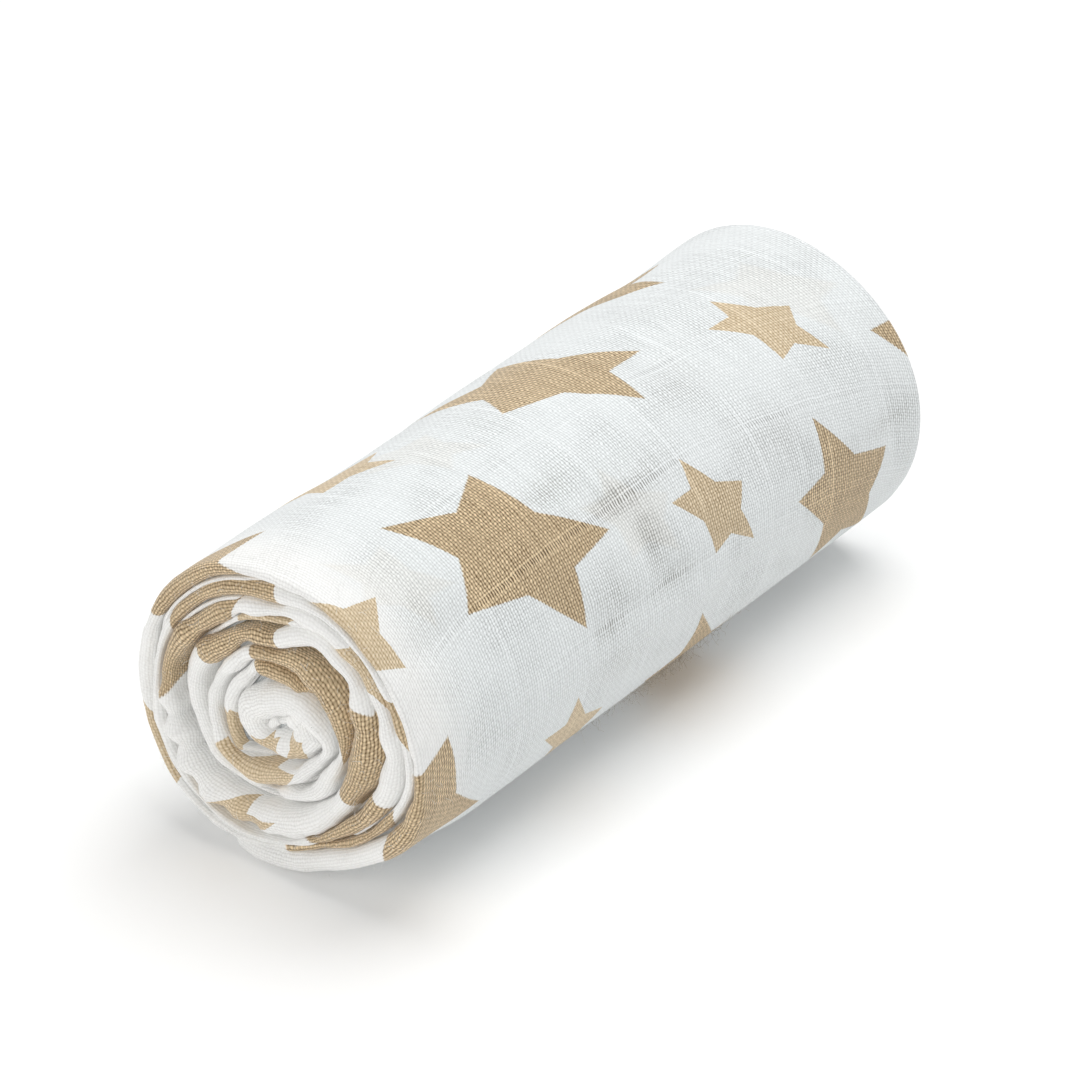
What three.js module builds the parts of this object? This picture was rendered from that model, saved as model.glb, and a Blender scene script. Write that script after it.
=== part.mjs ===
// A thin muslin bath towel, folded in four across its width and rolled up.
// Millimetres, +Z up. The roll lies along Y, with the end that shows its folds at -Y.
// The origin is on the surface that the roll rests on, under the middle of the roll.

import * as THREE from 'three';
import { mergeVertices } from 'three/addons/utils/BufferGeometryUtils.js';

// Driving dimensions

const ROLL_LENGTH = 220;        // over the folds that stand out most at the two ends
const ROLL_RADIUS = 46.5;       // of the outermost turn
const CORE_RADIUS = 4.5;        // of the loose middle that the first turn goes round
const TURNS = 7;
const OUTER_PITCH = 6.9;        // thickness of the outermost turn, which is slacker than the rest
const SAG = 0.7;                // how far the roll has settled on its flat spot
const FOLD_GROOVE = 5;          // depth of the groove between two turns, at either end
const FOLD_SHOULDER = 1.2;      // how far a fold's shoulders lie behind its crest
const END_ROOM = 2;             // how far the highest folds of an end stand above its plain ones
const LOOSE_THICKNESS = 6.5;    // four layers of muslin
const LOOSE_START = -45;        // degrees; where the loose end leaves the outermost turn
const LOOSE_REACH = 16.5;       // how far the loose end reaches past the middle, under the roll
const LOOSE_END_INSET = 1.5;    // how far the loose end stays behind the roll's ends
const CLEARANCE = 0.4;          // between the roll and the loose end
const CORNER_SOFTNESS = 0.8;    // of the bend where the roll's flat spot begins

// Worked out from them

const INNER_PITCH = (ROLL_RADIUS - OUTER_PITCH - CORE_RADIUS) / (TURNS - 1);
const AXIS_HEIGHT = ROLL_RADIUS - SAG;

// How finely the solids are stepped

const STEPS_ROUND = 54;         // in one turn
const STEPS_ACROSS = 4;         // across the thickness of one turn, at the ends
const STEPS_ALONG = 14;         // along the roll

// Soft dents (depth above 0) and swells (below 0) of the outermost turn.
// Angle is in degrees round the roll: 0 is +X, 90 is the top.

const dents = [
  { angle: 118, y: -60, halfAngle: 26, halfLength: 45, depth: 0.9 },
  { angle: 75, y: 15, halfAngle: 16, halfLength: 60, depth: 0.7 },
  { angle: 48, y: -92, halfAngle: 18, halfLength: 22, depth: 1.6 },
  { angle: 22, y: -66, halfAngle: 14, halfLength: 24, depth: 1.2 },
  { angle: 12, y: 10, halfAngle: 18, halfLength: 50, depth: -0.8 },
  { angle: 92, y: 88, halfAngle: 30, halfLength: 22, depth: 1.1 },
  { angle: 35, y: 92, halfAngle: 18, halfLength: 18, depth: -0.9 },
  { angle: 165, y: 40, halfAngle: 22, halfLength: 50, depth: 1.0 },
  { angle: 200, y: -95, halfAngle: 22, halfLength: 20, depth: -0.9 },
  { angle: 205, y: 70, halfAngle: 20, halfLength: 35, depth: 0.8 },
];

// Where the folds stand out of an end (rise above 0) or lie back in it (below 0)

const nearPuffs = [
  { angle: -135, radius: 37, spread: 10, rise: 1.6 },
  { angle: -95, radius: 30, spread: 11, rise: 1.4 },
  { angle: 60, radius: 9, spread: 8, rise: 2.0 },
  { angle: 5, radius: 30, spread: 10, rise: 1.3 },
  { angle: -150, radius: 24, spread: 8, rise: -3.2 },
  { angle: 125, radius: 37, spread: 9, rise: -1.6 },
  { angle: 55, radius: 37, spread: 10, rise: 0.8 },
  { angle: -30, radius: 14, spread: 6, rise: -2.6 },
];

const farPuffs = [
  { angle: 95, radius: 38, spread: 13, rise: -2.6 },
  { angle: 20, radius: 38, spread: 11, rise: 1.6 },
  { angle: -120, radius: 34, spread: 13, rise: 1.5 },
  { angle: 170, radius: 28, spread: 10, rise: -2.4 },
  { angle: -10, radius: 8, spread: 8, rise: -3.0 },
  { angle: 60, radius: 20, spread: 8, rise: 1.6 },
];

// The inner turns are wound off centre and a little flattened. The outer ones are not.
const coreLean = { x: -1.5, z: 1.5, flattening: 0.12, flatAngle: 20, fullWithin: 8, goneBeyond: 34 };

function radians(degrees) {
  return degrees * Math.PI / 180;
}

function bell(distance, spread) {
  return Math.exp(-0.5 * (distance / spread) ** 2);
}

// Degrees between two directions, from 0 to 180
function angleBetween(a, b) {
  return Math.abs(((a - b + 540) % 360 + 360) % 360 - 180);
}

// The softly limited greater of two lengths
function softMax(a, b, softness) {
  const difference = (a - b) / softness;
  return b + softness * Math.log(1 + Math.exp(difference));
}

// 0 beside the loose end, 1 away from it
function clearOfLooseEnd(angle) {
  const distance = angleBetween(angle, -80);
  return THREE.MathUtils.smoothstep(distance, 65, 95);
}

// Radius of the roll's outline. Winding runs from 0, where the loose end leaves, to 360 degrees.
// The turn lies on the round of the roll, then flat on the loose end, then inside it.
function outlineRadius(winding, y) {
  const angle = LOOSE_START + winding;
  const inner = ROLL_RADIUS - OUTER_PITCH;
  if (winding >= 270 - LOOSE_START - 1e-6) return inner;
  let dent = 0;
  for (const row of dents) {
    const round = bell(angleBetween(angle, row.angle), row.halfAngle);
    dent += row.depth * round * bell(y - row.y, row.halfLength);
  }
  const radius = ROLL_RADIUS - dent * clearOfLooseEnd(angle);
  const down = -Math.sin(radians(angle));
  if (down < 0.5) return radius;
  return -softMax(-radius, -inner / down, CORNER_SOFTNESS);
}

// Where a point of the even spiral lies once the inner turns lean and flatten
function leaned(radius, angle) {
  const share = 1 - THREE.MathUtils.smoothstep(radius, coreLean.fullWithin, coreLean.goneBeyond);
  const flat = 1 + share * coreLean.flattening * Math.cos(2 * radians(angle - coreLean.flatAngle));
  return {
    x: radius * flat * Math.cos(radians(angle)) + share * coreLean.x,
    z: radius * flat * Math.sin(radians(angle)) + share * coreLean.z,
  };
}

// How far a point of an end stands out of the end's plane
function endRise(x, z, puffs) {
  let rise = 0;
  for (const row of puffs) {
    const dx = x - row.radius * Math.cos(radians(row.angle));
    const dz = z - row.radius * Math.sin(radians(row.angle));
    rise += row.rise * bell(Math.hypot(dx, dz), row.spread);
  }
  return rise;
}

// Height of a fold's rounded edge across the thickness of its turn
function foldProfile(step) {
  const phase = step % STEPS_ACROSS;
  if (phase === 0) return -FOLD_GROOVE;
  return phase * 2 === STEPS_ACROSS ? 0 : -FOLD_SHOULDER;
}

// Radius of the even spiral, so many turns out from the core
function spiralRadius(turns) {
  const slack = Math.max(0, turns - (TURNS - 1)) * (OUTER_PITCH - INNER_PITCH);
  return CORE_RADIUS + turns * INNER_PITCH + slack;
}

// A point of an end. Step counts the lines of the spiral outwards from the core.
function endPoint(step, winding, side) {
  const turns = step / STEPS_ACROSS - winding / 360;
  const outerTurns = TURNS - winding / 360;
  const pressed = outlineRadius(winding, side * ROLL_LENGTH / 2) - spiralRadius(outerTurns);
  const radius = spiralRadius(turns) + pressed * turns / outerTurns;
  const { x, z } = leaned(radius, LOOSE_START + winding);
  const rise = endRise(x, z, side < 0 ? nearPuffs : farPuffs);
  const y = side * (ROLL_LENGTH / 2 - END_ROOM + foldProfile(step) + rise);
  return new THREE.Vector3(x, y, z + AXIS_HEIGHT);
}

// A point of the outermost turn, from the near rim (along 0) to the far rim (along 1)
function sidePoint(winding, along) {
  const rimStep = STEPS_ACROSS * TURNS;
  const near = endPoint(rimStep, winding, -1);
  const far = endPoint(rimStep, winding, 1);
  if (along === 0) return near;
  if (along === 1) return far;
  const y = THREE.MathUtils.lerp(near.y, far.y, along);
  const radius = outlineRadius(winding, y);
  const angle = radians(LOOSE_START + winding);
  return new THREE.Vector3(radius * Math.cos(angle), y, radius * Math.sin(angle) + AXIS_HEIGHT);
}

// Collects triangles and makes one closed geometry of them
class Shell {
  constructor() {
    this.positions = [];
  }

  triangle(a, b, c) {
    for (const p of [a, b, c]) this.positions.push(p.x, p.y, p.z);
  }

  quad(a, b, c, d) {
    this.triangle(a, b, c);
    this.triangle(a, c, d);
  }

  // A grid of points, faced by its order of rows and columns
  grid(rows, columns, pointAt) {
    for (let i = 0; i < rows; i++) {
      for (let j = 0; j < columns; j++) {
        this.quad(pointAt(i, j), pointAt(i + 1, j), pointAt(i + 1, j + 1), pointAt(i, j + 1));
      }
    }
  }

  geometry() {
    const loose = new THREE.BufferGeometry();
    loose.setAttribute('position', new THREE.Float32BufferAttribute(this.positions, 3));
    const closed = mergeVertices(loose, 1e-3);
    closed.computeVertexNormals();
    return closed;
  }
}

function windingAt(step) {
  return 360 * step / STEPS_ROUND;
}

// One end: the rounded edges of the turns, as a spiral, and the loose middle
function addEnd(shell, side) {
  const firstStep = STEPS_ACROSS;
  const lastStep = STEPS_ACROSS * TURNS;
  const place = (i, j) => endPoint(firstStep + j, windingAt(i), side);
  const turned = (i, j) => place(STEPS_ROUND - i, j);
  shell.grid(STEPS_ROUND, lastStep - firstStep, side < 0 ? turned : place);

  const rim = [];
  for (let i = 0; i <= STEPS_ROUND; i++) rim.push(endPoint(firstStep, windingAt(i), side));
  for (let j = 1; j < STEPS_ACROSS; j++) rim.push(endPoint(j, 0, side));
  const hub = leaned(0, 0);
  const hubRise = endRise(hub.x, hub.z, side < 0 ? nearPuffs : farPuffs);
  const hubY = side * (ROLL_LENGTH / 2 - END_ROOM - FOLD_SHOULDER + hubRise);
  const middle = new THREE.Vector3(hub.x, hubY, hub.z + AXIS_HEIGHT);
  for (let i = 0; i < rim.length; i++) {
    const here = rim[i];
    const next = rim[(i + 1) % rim.length];
    if (side < 0) shell.triangle(middle, here, next);
    else shell.triangle(middle, next, here);
  }
}

// The wound form: both ends, the outermost turn, and the step where the loose end leaves it
function makeRoll() {
  const shell = new Shell();
  addEnd(shell, -1);
  addEnd(shell, 1);
  shell.grid(STEPS_ALONG, STEPS_ROUND, (i, j) => sidePoint(windingAt(j), i / STEPS_ALONG));

  const stepPoint = (i, j) => {
    const along = i / STEPS_ALONG;
    const step = STEPS_ACROSS * TURNS - STEPS_ACROSS + j;
    if (along === 0) return endPoint(step, 0, -1);
    if (along === 1) return endPoint(step, 0, 1);
    return new THREE.Vector3().lerpVectors(sidePoint(360, along), sidePoint(0, along), j / STEPS_ACROSS);
  };
  shell.grid(STEPS_ALONG, STEPS_ACROSS, stepPoint);
  return shell.geometry();
}

// The loose end's section: pairs of points, on its outer face and on the face under the roll
function looseSection() {
  const pairs = [];
  const firstAngle = LOOSE_START - THREE.MathUtils.radToDeg(CLEARANCE / ROLL_RADIUS);
  const arcSteps = 9;
  const inner = ROLL_RADIUS - LOOSE_THICKNESS;
  for (let i = 0; i <= arcSteps; i++) {
    const angle = radians(THREE.MathUtils.lerp(firstAngle, -90, i / arcSteps));
    const direction = new THREE.Vector2(Math.cos(angle), Math.sin(angle));
    pairs.push({
      outer: new THREE.Vector2(ROLL_RADIUS * direction.x, Math.max(0, AXIS_HEIGHT + ROLL_RADIUS * direction.y)),
      inner: new THREE.Vector2(inner * direction.x, AXIS_HEIGHT + inner * direction.y),
    });
  }
  const top = AXIS_HEIGHT - inner;
  const flatSteps = 4;
  const roundStart = LOOSE_REACH - top;
  for (let i = 1; i <= flatSteps; i++) {
    const x = -roundStart * i / flatSteps;
    pairs.push({ outer: new THREE.Vector2(x, 0), inner: new THREE.Vector2(x, top) });
  }
  // The fold that ends it is a half ellipse
  for (const turn of [35, 60, 80]) {
    const x = -roundStart - top * Math.sin(radians(turn));
    const half = top / 2 * Math.cos(radians(turn));
    pairs.push({ outer: new THREE.Vector2(x, top / 2 - half), inner: new THREE.Vector2(x, top / 2 + half) });
  }
  return pairs;
}

// The loose end: a sheet of four layers, round at its free edge and at both ends
function makeLooseEnd() {
  const pairs = looseSection();
  const halfLength = ROLL_LENGTH / 2 - LOOSE_END_INSET;
  const roundEnd = [
    { inset: 0, share: 0.3 },
    { inset: 0.8, share: 0.75 },
    { inset: 2.6, share: 1 },
  ];
  const stations = [];
  for (const row of roundEnd) stations.push({ y: -halfLength + row.inset, share: row.share });
  const plainSteps = 6;
  const plainHalf = halfLength - roundEnd[2].inset;
  for (let i = 1; i < plainSteps; i++) {
    stations.push({ y: THREE.MathUtils.lerp(-plainHalf, plainHalf, i / plainSteps), share: 1 });
  }
  for (const row of [...roundEnd].reverse()) stations.push({ y: halfLength - row.inset, share: row.share });

  // The rounding at the ends leaves the underside flat
  const point = (stationIndex, pairIndex, face) => {
    const { y, share } = stations[stationIndex];
    const pair = pairs[pairIndex];
    const at = new THREE.Vector2().lerpVectors(pair.outer, pair.inner, face === 'inner' ? share : 0);
    return new THREE.Vector3(at.x, y, at.y);
  };
  const shell = new Shell();
  const lastPair = pairs.length - 1;
  const lastStation = stations.length - 1;
  shell.grid(lastStation, lastPair, (i, j) => point(i, lastPair - j, 'outer'));
  shell.grid(lastStation, lastPair, (i, j) => point(i, j, 'inner'));
  shell.grid(lastStation, 1, (i, j) => point(i, 0, j === 0 ? 'outer' : 'inner'));
  shell.grid(lastStation, 1, (i, j) => point(i, lastPair, j === 0 ? 'inner' : 'outer'));
  shell.grid(1, lastPair, (i, j) => point(0, j, i === 0 ? 'outer' : 'inner'));
  shell.grid(1, lastPair, (i, j) => point(lastStation, j, i === 0 ? 'inner' : 'outer'));
  return shell.geometry();
}

const muslin = { color: 0xf4f3f0, roughness: 0.95, metalness: 0 };

function namedMesh(name, geometry) {
  const mesh = new THREE.Mesh(geometry, new THREE.MeshStandardMaterial(muslin));
  mesh.name = name;
  return mesh;
}

const towel = new THREE.Group();
towel.add(namedMesh('roll', makeRoll()));
towel.add(namedMesh('loose_end', makeLooseEnd()));

export default towel;
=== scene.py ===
import math

import bpy
import numpy as np
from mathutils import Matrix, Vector


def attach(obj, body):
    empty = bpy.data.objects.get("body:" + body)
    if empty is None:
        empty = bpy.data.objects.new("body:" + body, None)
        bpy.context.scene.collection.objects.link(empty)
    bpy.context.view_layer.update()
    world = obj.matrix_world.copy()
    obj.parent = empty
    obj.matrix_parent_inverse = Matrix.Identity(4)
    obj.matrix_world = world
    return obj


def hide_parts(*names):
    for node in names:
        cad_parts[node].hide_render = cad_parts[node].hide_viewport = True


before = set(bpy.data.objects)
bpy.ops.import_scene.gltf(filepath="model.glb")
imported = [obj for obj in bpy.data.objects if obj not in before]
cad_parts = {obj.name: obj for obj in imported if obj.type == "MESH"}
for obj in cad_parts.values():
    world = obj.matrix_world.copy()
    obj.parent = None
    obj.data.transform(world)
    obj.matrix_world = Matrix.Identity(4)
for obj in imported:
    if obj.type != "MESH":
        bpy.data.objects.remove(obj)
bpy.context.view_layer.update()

# Lengths are in millimetres up to the meshes, which are in metres
MM = 0.001


def table(columns, *rows):
    """Rows by the names of their columns."""
    return [dict(zip(columns.split(), row)) for row in rows]


# The roll: its axis runs along Y, its near end is at -Y, and it rests at height 0
ROLL_LENGTH = 220
ROLL_RADIUS = 46.5
CORE_RADIUS = 4.5
TURNS = 7
OUTER_PITCH = 6.9
SAG = 0.7
END_ROOM = 2
CORNER_SOFTNESS = 0.8
LOOSE_START = -45
LOOSE_NOSE = -18.6
LOOSE_THICKNESS = 7.2
END_PUFF = 2.5

INNER_PITCH = (ROLL_RADIUS - OUTER_PITCH - CORE_RADIUS) / (TURNS - 1)
AXIS_HEIGHT = ROLL_RADIUS - SAG
NEAR_CREST = -ROLL_LENGTH / 2 + END_ROOM - END_PUFF
FAR_CREST = ROLL_LENGTH / 2 - END_ROOM + END_PUFF

# The cloth: folded in four across its width, then wound up along its length
CLOTH_WIDTH = 900
NEAR_FOLD = CLOTH_WIDTH / 2     # place across the cloth of the fold that shows at the near end
PITCH_ROUND = 0.975             # between threads that run along the roll
PITCH_ALONG = 0.90              # between threads that run round it
LADDER_SPACING = 27.0           # between the open lines that run along the roll
LADDER_START = 17.4
THICK_SPACING = 27.3            # between the thick threads that run round it
THICK_START = NEAR_FOLD + 124.0

# Place of each layer in the thickness of a turn, from its outer face to its inner one
LAYER_PLACE = {1: 0.04, 2: 0.34, 3: 0.62, 4: 0.90}

# Soft dents (depth above 0) and swells (below 0) of the outermost turn.
# Angle is in degrees round the roll: 0 is +X, 90 is the top.
dents = table(
    "angle y half_angle half_length depth",
    (118, -60, 26, 45, 0.9),
    (75, 15, 16, 60, 0.7),
    (48, -92, 18, 22, 1.6),
    (22, -66, 14, 24, 1.2),
    (12, 10, 18, 50, -0.8),
    (92, 88, 30, 22, 1.1),
    (35, 92, 18, 18, -0.9),
    (165, 40, 22, 50, 1.0),
    (200, -95, 22, 20, -0.9),
    (205, 70, 20, 35, 0.8),
)

# The fold of each turn at the near end, every 22.5 degrees inwards from the turn's start.
# Radius is of the fold's middle and half is half its width.
# Rise is how far it stands out of the end.
FOLDS_IN_A_TURN = 16
near_folds = [
    {
        "turn": 1,
        "radius": (43.3, 45.4, 45.6, 45.6, 45.3, 44.2, 43.8, 42.9,
                   42.9, 43.6, 45.3, 45.6, 43.2, 37.6, 34.0, 35.2),
        "half": (2.8, 1.5, 1.2, 1.2, 1.5, 1.7, 2.3, 2.2, 1.9, 2.8, 1.6, 1.2, 1.0, 0.8, 0.8, 1.0),
        "rise": (0.0, -0.5, -0.5, -0.5, -0.5, 0.0, 0.5, 0.5, 0.5, 0.3, 0.0, 0.0, -0.5, -1.0, -1.0, -0.5),
    },
    {
        "turn": 2,
        "radius": (38.0, 42.4, 43.2, 43.0, 42.4, 38.9, 38.5, 37.7,
                   38.6, 40.2, 42.4, 43.2, 40.8, 36.0, 32.3, 31.2),
        "half": (1.5, 1.3, 1.2, 1.0, 1.2, 3.0, 2.4, 1.8, 1.3, 1.0, 1.2, 1.0, 1.0, 0.8, 1.0, 1.9),
        "rise": (0.0, -0.5, 0.0, -0.5, -0.5, -0.3, 0.0, 0.0, -0.5, -0.8, -0.5, -0.5, -0.5, -0.5, -0.3, 0.0),
    },
    {
        "turn": 3,
        "radius": (33.3, 37.0, 39.0, 39.6, 38.8, 33.9, 32.9, 31.7,
                   34.1, 36.8, 37.4, 37.6, 33.0, 29.8, 27.6, 25.6),
        "half": (2.4, 3.4, 3.0, 2.2, 2.0, 2.2, 2.2, 2.6, 2.6, 2.6, 3.8, 5.0, 4.8, 4.6, 3.8, 3.4),
        "rise": (0.5, 0.5, 0.5, 0.0, 0.0, -1.0, 0.0, 0.5, 0.5, 0.0, 0.8, 1.2, 1.2, 1.0, 0.8, 0.3),
    },
    {
        "turn": 4,
        "radius": (25.6, 28.2, 31.4, 34.0, 32.8, 25.5, 25.1, 24.4,
                   26.6, 27.6, 27.4, 27.6, 24.2, 21.6, 20.4, 19.4),
        "half": (3.6, 4.9, 4.2, 3.2, 3.2, 2.0, 1.8, 2.8, 3.4, 3.2, 2.8, 1.9, 1.3, 1.2, 1.8, 2.4),
        "rise": (1.0, 1.5, 1.0, -0.5, -0.5, -0.5, 0.0, 0.5, 0.0, 0.0, -0.5, -1.5, -2.5, -2.5, -1.0, 0.0),
    },
    {
        "turn": 5,
        "radius": (18.8, 20.9, 23.2, 24.6, 23.2, 20.6, 20.4, 18.9,
                   19.8, 21.0, 22.0, 23.0, 19.2, 15.6, 14.4, 13.3),
        "half": (2.2, 2.0, 4.0, 5.0, 3.8, 2.3, 1.7, 2.1, 2.2, 2.2, 2.0, 1.9, 2.9, 3.2, 2.7, 2.3),
        "rise": (0.0, 0.0, 0.8, 1.0, 0.5, 0.0, 0.0, 0.0, 0.0, 0.0, -0.5, -0.8, -0.3, 0.3, 0.5, 0.3),
    },
    {
        "turn": 6,
        "radius": (14.2, 16.2, 14.2, 12.4, 9.8, 7.6, 6.8, 6.4,
                   7.4, 8.8, 9.6, 9.4, 8.4, 7.2, 7.0, 7.2),
        "half": (1.8, 2.0, 3.6, 5.0, 4.8, 4.8, 4.8, 4.6, 4.6, 4.6, 4.6, 4.4, 4.4, 4.6, 4.6, 4.4),
        "rise": (-0.5, -0.5, 0.5, 1.5, 2.2, 2.5, 2.2, 1.5, 1.0, 0.3, -0.6, -1.4, -1.8, -2.0, -2.0, -2.0),
    },
    {
        "turn": 7,
        "radius": (6.8, 6.0, 4.8, 4.0),
        "half": (4.2, 3.8, 3.2, 2.6),
        "rise": (-2.0, -2.0, -2.2, -2.6),
    },
]

# The same for the loose end, which lies flat on the floor, by turns before the loose start
loose_folds = table(
    "winding radius half rise",
    (-0.194, 46.4, 3.5, -6.0),
    (-0.184, 45.0, 3.5, -2.5),
    (-0.168, 43.4, 3.6, -0.5),
    (-0.125, 41.3, 3.7, 0.0),
    (-0.0625, 38.6, 3.2, 0.0),
    (0.0, 39.6, 3.0, 0.0),
)

# Where the two hems beside the near fold come forward or are puffed.
# Half is half the thickness of a hem and back is how far it lies behind the fold's crest.
HEM_HALF = 0.55
HEM_BACK = 6.0
HEM_HOLD = 1.6      # above 1, so that a hem keeps its size for a while round its middle
hems = table(
    "turn angle spread half back",
    (1, 128, 26, 0.6, 1.4),
    (2, -28, 16, 0.6, 1.2),
    (2, 132, 22, 0.6, 1.2),
    (3, 100, 24, 0.8, 1.2),
    (4, 245, 22, 0.8, 0.6),
    (5, 165, 24, 2.2, 1.2),
    (5, 90, 22, 2.7, 0.2),
    (5, 214, 14, 1.6, 1.6),
    (6, -4, 26, 2.6, 0.8),
    (6, 200, 70, 1.4, 2.4),
)

# Soft troughs (depth above 0) and ridges (below 0) of the outermost turn, from one place to
# another, each an angle round the roll and a place along it. Width is half across.
creases = table(
    "from to width depth",
    ((77, 32), (53, 37), 5.0, 1.0),
    ((87, 38), (76, 52), 4.0, 0.7),
    ((76, -18), (78, 6), 2.2, 0.5),
    ((110, 42), (102, 70), 5.0, 0.8),
    ((69, -36), (50, -24), 4.0, 0.5),
    ((41, -14), (13, -5), 4.5, 1.0),
    ((46, -6), (18, 6), 4.0, -0.5),
    ((9, -34), (8, 2), 3.5, 0.8),
    ((2, -50), (-2, 10), 6.0, -0.6),
    ((5, -80), (-2, -90), 3.0, 0.6),
    ((39, -92), (41, -78), 3.0, 0.6),
    ((62, 84), (49, 90), 4.5, 0.8),
    ((74, 92), (66, 70), 6.0, -0.6),
    ((23, 94), (10, 98), 5.0, 1.0),
    ((134, -28), (129, -52), 6.0, 0.9),
    ((66, -90), (36, -84), 6.0, 0.8),
    ((22, -50), (4, -64), 4.0, 0.5),
    ((46, 26), (27, 33), 4.0, 0.5),
    ((-7, 32), (-12, 18), 4.0, 0.7),
    ((37, -99), (22, -106), 3.0, 0.5),
    ((150, -80), (140, 20), 7.0, 0.7),
    ((172, -30), (160, 90), 8.0, 1.0),
    ((196, -70), (205, 40), 7.0, 0.9),
    ((120, 60), (150, 100), 6.0, 0.8),
)

# Small unevenness: height, its spacing round the roll and along it, and the seed of its draw
UNEVEN_COLUMNS = "height round along seed"
unevenness = {
    "outside": table(UNEVEN_COLUMNS, (0.22, 17, 23, 3), (0.1, 7, 9, 5)),
    "rims": table(UNEVEN_COLUMNS, (1, 5.5, 26, 7), (0.5, 3.2, 17, 9)),
    "inner rims": table(UNEVEN_COLUMNS, (0.5, 11, 6, 11)),
    "pleats": table(UNEVEN_COLUMNS, (0.5, 14, 20, 13)),
}
RIM_SPREAD = 9.0        # how far from the fold its unevenness reaches
RIM_HEIGHT = 0.3        # share of the rims' unevenness on the outermost turn
INNER_RIM_HEIGHT = 0.5  # and what the inner turns have more
# The small pleats of one fold, by its turn and angle
PLEATS = {"turn": 3, "angle": 222, "spread": 26, "height": 1.15, "length": 8.0, "slant": 0.12}

# Where the threads have drawn apart: half lengths round the roll in degrees and along it in mm
# There the gaps are painted dark, as the shade inside the roll seen through them.
open_patches = table(
    "angle y half_angle half_length open",
    (43, -12, 4, 13, 0.95),
    (43, -50, 5, 16, 0.45),
    (27, -8, 11, 4, 0.75),
    (20, -27, 8, 7, 0.5),
    (59, -32, 4, 9, 0.55),
    (10, -4, 3, 6, 0.7),
    (9, -31, 3, 5, 0.65),
    (-7, -26, 5, 9, 0.4),
    (46, -84, 8, 8, 0.5),
    (66, 32, 8, 8, 0.5),
    (30, 50, 7, 9, 0.4),
    (43, 70, 3, 30, 0.15),
    (10, 92, 3, 14, 0.5),
    (76, -60, 3, 30, 0.15),
    (76, 60, 3, 40, 0.15),
    (150, 20, 14, 20, 0.5),
    (190, -50, 12, 16, 0.5),
)

# How far the threads are pulled round the roll at each place along it, in degrees
grain = {
    "y": (-112, -90, -73, -46, 14, 41, 67, 93, 112),
    "pulled": (22, 7, 2, 0, 0, 4, 10, 19, 29),
}

# The printed stars. A star on the outermost turn is placed by its angle round the roll and
# its place along it. One at the near end is placed by its turn and angle,
# and by its distance from the fold, above 0 on the layer outside the fold and below 0 inside it,
# or by its distance from the hem of layer 3.
# Shade 1 is dark tan and 0 is light beige.
# The cloth is pulled on the bias, so a star is longer one way than the other.
INNER_POINT = 0.54
STAR_COLUMNS = "angle y long short pull turned shade"
outer_stars = table(
    STAR_COLUMNS,
    (49.8, -50.7, 35.9, 23.7, 43, 9, 1.0),
    (22.3, 18.2, 20.1, 11.5, 50, 51, 0.35),
    (62.8, 70.8, 19.8, 10.7, 50, 53, 0.0),
    (-7.9, 75.7, 34.3, 19.1, 55, 43, 1.0),
    # This star on the top is made lighter (shade 0.8) as painted light, for the overhead light that washes
    # the top out
    (97.0, 6.0, 34.9, 17.7, 39, 8, 0.8),
    (54.3, -112.8, 16.8, 17.8, 71, -19, 0.0),
    (-15.0, -108.0, 35.9, 23.7, 43, 12, 1.0),
    (-29.7, -39.4, 20.1, 11.6, 50, 51, 0.0),
    (120.5, -57.5, 19.5, 10.9, 32, 65, 0.0),
    (-50.0, 23.0, 34.3, 20.0, 52, 43, 1.0),
    (134.5, 56.0, 34.5, 16.5, 34, 5, 1.0),
    (19.6, 127.6, 35.9, 23.3, 55, -13, 1.0),
)
large_stars = table(
    "turn angle across turned",
    (1, 130.0, -10, 18),
    (2, 113.7, 4, 54),
    (3, 149.0, -4, 6),
    (4, 119.2, 12, 66),
    (5, 66.4, 0, 24),
    (4, -4.4, 10, 6),
    (1, 303.8, 8, 48),
    (2, 317.4, -10, 24),
)
small_stars = table(
    "turn angle across long short turned shade",
    (2, 23.0, 2, 15, 7, 30, 0.7),
    (3, 43.0, 3, 14, 9, 20, 0.0),
    (1, 209.0, -2, 20.0, 11.6, 12, 0.0),
    (5, 243.0, 3, 20.0, 11.6, 54, 0.0),
    (3, 233.0, 9, 26, 9, 48, 0.0),
    (6, 243.0, 1, 8, 5, 30, 0.0),
    (6, 312.0, 1, 9, 5, 10, 0.0),
)
small_stars += table(
    "turn angle from_hem long short turned shade",
    (4, 264.0, 0, 10, 6, 10, 1.0),
    (5, 91.0, 0, 17, 15, 20, 1.0),
    (3, 95.0, 1, 22, 9, 10, 0.0),
    (5, 212.0, 1, 12, 8, 30, 0.0),
)
LARGE = {"long": 35.9, "short": 23.7, "pull": 43, "shade": 1.0}
near_stars = [{**LARGE, **star} for star in large_stars] + [{"pull": 50, **star} for star in small_stars]
# Stars of the layer underneath, which show faintly through the outer one
under_stars = table(
    STAR_COLUMNS,
    (62.0, -88.0, 19.0, 12.0, 50, 20, 0.0),
    (100.0, -42.0, 19.0, 11.0, 50, 40, 0.0),
    (71.0, 84.0, 24.0, 14.0, 50, 10, 1.0),
    (36.0, -10.0, 19.0, 12.0, 50, 60, 0.0),
)


def smooth(t):
    t = np.clip(t, 0, 1)
    return t * t * (3 - 2 * t)


def bell(distance, spread):
    return np.exp(-0.5 * (distance / spread) ** 2)


def angle_between(a, b):
    return np.abs((a - b + 540) % 360 - 180)


def mix(a, b, t):
    return a + (b - a) * t


def soft_max(a, b, softness):
    return b + softness * np.logaddexp(0, (a - b) / softness)


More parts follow.
